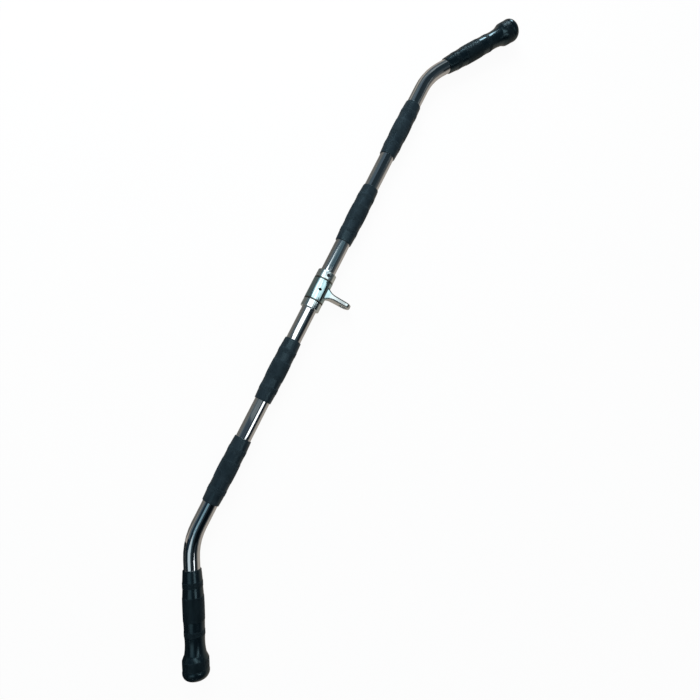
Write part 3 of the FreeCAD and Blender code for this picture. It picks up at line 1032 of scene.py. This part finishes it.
def on_floor(name: str, x: float, y: float, size: Span, roll: float = 0.0) -> Panel:
    """A level panel just above the floor."""
    return Panel(name, (x, y, FLOOR_CARD_HEIGHT), (x, y, FLOOR_CARD_HEIGHT - 1.0), size, roll)


@dataclass(frozen=True)
class Lamp:
    """A soft rectangular lamp.

    Args:
        panel: Its place and size.
        power: Its watts.
        colour: The colour of its light.
        mirrored: Whether it shows in what mirrors it.
    """

    panel: Panel
    power: float
    colour: Colour
    mirrored: bool = True


STUDIO_LAMPS: Tuple[Lamp, ...] = (
    Lamp(overhead("softbox_near", -0.29, -0.76, (2.05, 0.42), 79.0, LAMP_HEIGHT), 4.6, (0.96, 0.99, 1.0)),
    Lamp(overhead("softbox_far", 0.235, 0.93, (0.94, 0.27), 90.0, LAMP_HEIGHT), 1.60, (0.96, 0.99, 1.0)),
    Lamp(overhead("softbox_side", 1.52, -0.78, (1.5, 0.85), -45.0), 2.6, (0.84, 0.97, 1.0)),
    Lamp(Panel("window", (-2.90, -0.66, 0.82), (-0.55, 0.0, 0.0), (0.75, 0.60)), 21.0, (0.76, 0.92, 1.0)),
    Lamp(Panel("fill", (-1.05, -1.0, 1.0), (-0.3, 0.0, 0.0), (0.9, 0.9)), 20.0, (0.92, 0.98, 1.0), False),
)

STUDIO_CARDS: Tuple[Tuple[Panel, Colour], ...] = (
    (overhead("card_ceiling", 0.0, 0.0, (9.0, 9.0), height=2.4), (0.018, 0.027, 0.034)),
    (overhead("card_dusk", -1.45, -1.60, (1.5, 1.7)), (0.080, 0.112, 0.138)),
    (overhead("card_pale", -2.45, -0.70, (1.0, 0.55), -12.0), (0.25, 0.29, 0.30)),
    (overhead("card_hollow", -1.35, 0.30, (1.2, 1.5)), (0.020, 0.032, 0.040)),
    (overhead("card_mist", -1.35, 2.00, (1.3, 1.6)), (0.042, 0.054, 0.060)),
    (overhead("card_streak", -2.18, 2.38, (1.7, 0.15), -41.7, 1.58), (0.32, 0.36, 0.36)),
    (overhead("card_veil", -0.58, 0.05, (0.26, 1.9), height=1.62), (0.075, 0.125, 0.150)),
    (overhead("card_veil_near", -0.608, -0.75, (0.26, 0.9)), (0.140, 0.210, 0.240)),
    (overhead("card_spill", -0.62, -1.45, (0.95, 0.32), 82.0), (0.85, 0.98, 1.00)),
    (overhead("card_line_near", -0.72, -2.30, (1.2, 0.17), 80.0), (0.95, 1.12, 1.15)),
    (overhead("card_line_mid", -0.395, 0.20, (1.3, 0.16), 92.0, 1.58), (1.35, 1.45, 1.46)),
    (overhead("card_line_far", -0.50, 1.32, (1.7, 0.10), 97.5), (1.05, 1.20, 1.22)),
    (overhead("card_half", -0.20, 0.80, (0.20, 0.7)), (0.06, 0.09, 0.10)),
    (overhead("card_slate", 0.20, -1.40, (0.16, 2.7)), (0.16, 0.19, 0.20)),
    (overhead("card_slate_low", 0.36, -1.40, (0.16, 2.7)), (0.045, 0.065, 0.085)),
    (overhead("card_slate_far", 0.76, -0.55, (0.36, 0.9)), (0.16, 0.27, 0.32)),
    (overhead("card_navy", 1.4, -2.3, (1.6, 1.6)), (0.014, 0.032, 0.052)),
    (overhead("card_night", 0.95, 1.75, (0.8, 2.6)), (0.002, 0.004, 0.006)),
    (overhead("card_grey", -2.75, -1.9, (0.9, 1.9)), (0.20, 0.23, 0.24)),
    (Panel("card_near", (-1.25, -3.2, 1.7), (-1.25, 0.0, 1.7), (6.5, 1.4)), (0.100, 0.132, 0.146)),
    (Panel("card_near_low", (-1.25, -3.2, 0.5), (-1.25, 0.0, 0.5), (6.5, 1.0)), (0.120, 0.132, 0.134)),
    (Panel("card_near_right", (4.75, -3.2, 1.2), (4.75, 0.0, 1.2), (5.5, 2.4)), (0.008, 0.014, 0.018)),
    (on_floor("card_apron", 0.0, -0.665, (0.92, 1.20)), (0.165, 0.160, 0.145)),
    (on_floor("card_apron_right", 1.361, -0.231, (1.40, 1.20), 30.0), (0.020, 0.026, 0.028)),
    (Panel("card_far_left", (-2.7, 3.2, 1.6), (-2.7, 0.0, 1.6), (3.6, 1.6)), (0.085, 0.090, 0.092)),
    (Panel("card_far_right", (1.8, 3.2, 1.6), (1.8, 0.0, 1.6), (5.4, 1.6)), (0.010, 0.014, 0.018)),
    (Panel("card_far_low", (0.0, 3.2, 0.4), (0.0, 0.0, 0.4), (9.0, 0.8)), (0.130, 0.126, 0.116)),
    (Panel("card_left", (-4.4, 0.0, 1.2), (0.0, 0.0, 1.2), (6.6, 2.4)), (0.105, 0.125, 0.135)),
    (Panel("card_right", (4.8, 0.0, 1.2), (0.0, 0.0, 1.2), (6.6, 2.4)), (0.010, 0.018, 0.024)),
)

SENSOR_WIDTH = 36.0
PHOTO_WIDTH_PIXELS = 700.0
FOCAL_PIXELS = 562.951


@dataclass(frozen=True)
class Studio:
    """The floor, the lights and the camera.

    Args:
        floor: Height of the floor.
        floor_gap: How far below it the floor's sheet lies, so that nothing touches the sheet.
        floor_side: Length of each side of the sheet.
        paper: The sheet's two tones.
        paper_cloud: Pattern of these tones.
        paper_roughness: The sheet's roughness.
        mirrored_paper: The sheet's tone in what mirrors it.
        glow_share: The share of its look that is this tone, or white for the camera. The rest is lit
            paper, which shows the shadows.
        air: Colour of the light from all sides.
        air_level: Strength of that light.
        folds: Pattern of the cards' cloth.
        fold_range: The part of that pattern's grey that is used.
        fold_levels: How much darker and lighter the cloth gets there.
        eye: The camera's place.
        right: The camera's own right.
        down: The camera's own downward direction.
        nearest: The least distance that the camera sees.
        focal: Focal length on the sensor.
        lamps: The lamps.
        cards: What the chrome mirrors, with the tone of each card.
    """

    floor: float = FLOOR_HEIGHT
    floor_gap: float = 0.2 * MM
    floor_side: float = 24.0
    paper: Tuple[Colour, Colour] = ((0.90, 0.90, 0.90), (0.93, 0.93, 0.93))
    paper_cloud: Cloud = Cloud(3.0, 2.0)
    paper_roughness: float = 0.9
    mirrored_paper: Colour = (0.38, 0.33, 0.28)
    glow_share: float = 0.95
    air: Colour = (0.93, 0.97, 1.0)
    air_level: float = 0.32
    folds: Cloud = Cloud(1.6, 4.0, 0.6, (1.0, 5.0, 5.0))
    fold_range: Span = (0.36, 0.64)
    fold_levels: Span = (0.6, 1.4)
    eye: Place = (0.220037, -0.099039, 0.932673)
    right: Place = (-0.434000, 0.876757, 0.207213)
    down: Place = (0.885986, 0.457061, -0.078241)
    nearest: float = 0.05
    focal: float = FOCAL_PIXELS * SENSOR_WIDTH / PHOTO_WIDTH_PIXELS
    lamps: Tuple[Lamp, ...] = STUDIO_LAMPS
    cards: Tuple[Tuple[Panel, Colour], ...] = STUDIO_CARDS

    def build_camera(self) -> None:
        """Places the camera at the photograph's viewing angle."""
        data = bpy.data.cameras.new("camera")
        data.sensor_fit = "HORIZONTAL"
        data.sensor_width = SENSOR_WIDTH
        data.lens = self.focal
        data.clip_start = self.nearest
        camera = bpy.data.objects.new("camera", data)
        bpy.context.scene.collection.objects.link(camera)
        right, up = Vector(self.right).normalized(), -Vector(self.down).normalized()
        back = right.cross(up)
        axes = Matrix((right, up, back)).transposed().to_4x4()
        camera.matrix_world = Matrix.Translation(Vector(self.eye)) @ axes
        bpy.context.scene.camera = camera

    def flat(self, name: str, matrix: Matrix, size: Span) -> bpy.types.Object:
        """Makes a flat rectangle for the floor or a card.

        Args:
            name: The object's name.
            matrix: Its frame, with +Z square to it.
            size: Its width and height.

        Returns:
            The object.
        """
        mesh = bmesh.new()
        bmesh.ops.create_grid(mesh, x_segments=1, y_segments=1, size=0.5)
        bmesh.ops.scale(mesh, vec=(size[0], size[1], 1.0), verts=mesh.verts[:])
        bmesh.ops.transform(mesh, matrix=matrix, verts=mesh.verts[:])
        plane = finish_piece(mesh, name, [])
        return plane

    def build_floor(self) -> None:
        """Lays a pale floor with a soft shadow, white where it is looked at and paper-coloured in mirrors."""
        level = Matrix.Translation((0.0, 0.0, self.floor - self.floor_gap))
        plane = self.flat("floor", level, (self.floor_side, self.floor_side))
        tree = NodeTree.new("floor_paper")
        tree.tint(tree.noise(self.paper_cloud), *self.paper)
        tree.surface.inputs["Roughness"].default_value = self.paper_roughness
        tree.surface.inputs["Specular IOR Level"].default_value = 0.0
        path, seen = tree.looked_at()
        share = tree.add("Math", operation="MULTIPLY")
        share.inputs[1].default_value = self.glow_share
        tree.link(seen, "Value", share, 0)
        tone = tree.add("Mix", data_type="RGBA")
        tone.inputs[MIX_FIRST].default_value = (*self.mirrored_paper, 1.0)
        tone.inputs[MIX_SECOND].default_value = (*WHITE, 1.0)
        tree.link(path, "Is Camera Ray", tone, MIX_FACTOR)
        glow = tree.add("Emission", Strength=1.0)
        tree.link(tone, MIX_RESULT, glow, "Color")
        mix = tree.add("MixShader")
        tree.link(share, "Value", mix, "Fac")
        tree.link(tree.surface, "BSDF", mix, SHADER_FIRST)
        tree.link(glow, "Emission", mix, SHADER_SECOND)
        tree.link(mix, "Shader", tree.node("Material Output"), "Surface")
        plane.data.materials.append(tree.owner)

    def build_world(self) -> None:
        """Makes the air, white where it is looked at and a plain level where it lights."""
        world = bpy.data.worlds.new("studio_air")
        world.use_nodes = True
        bpy.context.scene.world = world
        tree = NodeTree(world)
        soft = tree.node("Background")
        soft.inputs["Color"].default_value = (*self.air, 1.0)
        soft.inputs["Strength"].default_value = self.air_level
        white = tree.add("Background", Color=(*WHITE, 1.0), Strength=1.0)
        seen = tree.looked_at()[1]
        mix = tree.add("MixShader")
        tree.link(seen, "Value", mix, "Fac")
        tree.link(soft, "Background", mix, SHADER_FIRST)
        tree.link(white, "Background", mix, SHADER_SECOND)
        tree.link(mix, "Shader", tree.node("World Output"), "Surface")

    def build_lamp(self, lamp: Lamp) -> None:
        """Hangs a lamp.

        Args:
            lamp: The lamp.
        """
        data = bpy.data.lights.new(lamp.panel.name, "AREA")
        data.shape = "RECTANGLE"
        data.size, data.size_y = lamp.panel.size
        data.energy = lamp.power
        data.color = lamp.colour
        piece = bpy.data.objects.new(lamp.panel.name, data)
        piece.matrix_world = lamp.panel.matrix()
        piece.visible_glossy = lamp.mirrored
        bpy.context.scene.collection.objects.link(piece)

    def build_card(self, panel: Panel, colour: Colour) -> None:
        """Hangs a card that only shows in what mirrors it.

        Args:
            panel: Its place and size.
            colour: Its tone.
        """
        card = self.flat(panel.name, panel.matrix(), panel.size)
        tree = NodeTree.new(panel.name + "_cloth")
        glow = tree.add("Emission", Color=(*colour, 1.0))
        level = tree.remap(tree.noise(self.folds), "Fac", self.fold_range, self.fold_levels)
        tree.link(level, "Result", glow, "Strength")
        tree.link(glow, "Emission", tree.node("Material Output"), "Surface")
        card.data.materials.append(tree.owner)
        card.visible_camera = False
        card.visible_diffuse = False
        card.visible_shadow = False
        card.visible_transmission = False

    def build(self) -> None:
        """Sets up the whole studio."""
        bpy.context.scene.view_settings.view_transform = "Standard"
        self.build_camera()
        self.build_floor()
        self.build_world()
        for lamp in self.lamps:
            self.build_lamp(lamp)
        for panel, colour in self.cards:
            self.build_card(panel, colour)


def main() -> None:
    """Builds the whole scene."""
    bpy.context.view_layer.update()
    layout = Layout()
    GripSet(layout).build()
    Hardware().dress()
    Studio().build()


if __name__ == "__main__":
    main()
